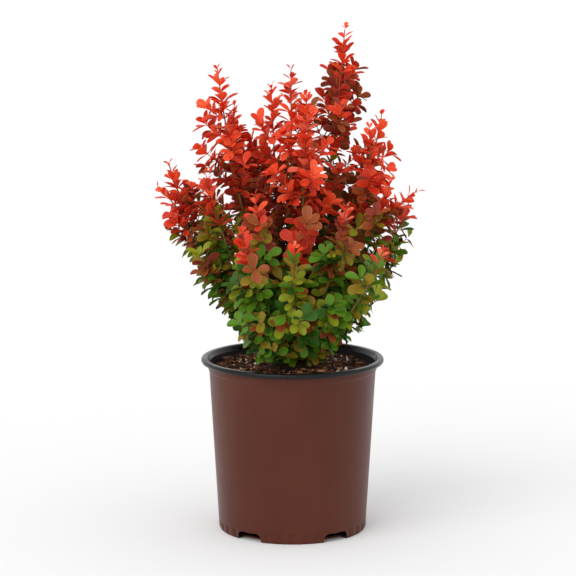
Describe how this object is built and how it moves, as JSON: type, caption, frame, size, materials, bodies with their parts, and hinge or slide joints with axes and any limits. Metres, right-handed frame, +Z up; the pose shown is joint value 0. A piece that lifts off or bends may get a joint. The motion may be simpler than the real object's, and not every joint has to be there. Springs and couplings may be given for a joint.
{
  "type": "potted barberry shrub",
  "caption": "Upright leafy barberry shrub with slender red-tipped shoots, in a round plastic nursery pot filled with potting mix.",
  "frame": {"origin": "centre of the pot's flat underside", "axes": "+Z up, and the side that is usually looked at faces -Y"},
  "size_m": [0.3348, 0.2947, 0.635],
  "materials": {
    "pot_brown": "satin",
    "rim_black": "satin",
    "potting_mix": "rough",
    "bark": "rough",
    "foliage_coral": "matte",
    "foliage_bronze": "matte",
    "foliage_green": "matte"
  },
  "bodies": {
    "root": {"pot": "pot_brown", "pot_rim": "rim_black", "potting_mix": "potting_mix", "root_crown": "bark", "cane_tallest": "bark", "foliage_tallest": "foliage_coral", "cane_left_tall": "bark", "foliage_left_tall": "foliage_coral", "cane_centre_left": "bark", "foliage_centre_left": "foliage_coral", "cane_centre_tall": "bark", "foliage_centre_tall": "foliage_coral", "cane_centre_front": "bark", "foliage_centre_front": "foliage_coral", "cane_right_tall": "bark", "foliage_right_tall": "foliage_coral", "cane_far_left": "bark", "foliage_far_left": "foliage_bronze", "cane_left_front": "bark", "foliage_left_front": "foliage_bronze", "cane_far_right": "bark", "foliage_far_right": "foliage_bronze", "cane_low_left": "bark", "foliage_low_left": "foliage_green", "cane_front_left": "bark", "foliage_front_left": "foliage_bronze", "cane_low_front_left": "bark", "foliage_low_front_left": "foliage_green", "cane_front_right": "bark", "foliage_front_right": "foliage_green", "cane_low_front": "bark", "foliage_low_front": "foliage_green", "cane_low_front_right": "bark", "foliage_low_front_right": "foliage_green", "cane_back_centre": "bark", "foliage_back_centre": "foliage_coral", "cane_back_left": "bark", "foliage_back_left": "foliage_bronze", "cane_back_right": "bark", "foliage_back_right": "foliage_bronze", "cane_far_back_left": "bark", "foliage_far_back_left": "foliage_green", "cane_low_right": "bark", "foliage_low_right": "foliage_green", "cane_low_back_left": "bark", "foliage_low_back_left": "foliage_green", "cane_low_back_right": "bark", "foliage_low_back_right": "foliage_green"}
  },
  "joints": []
}
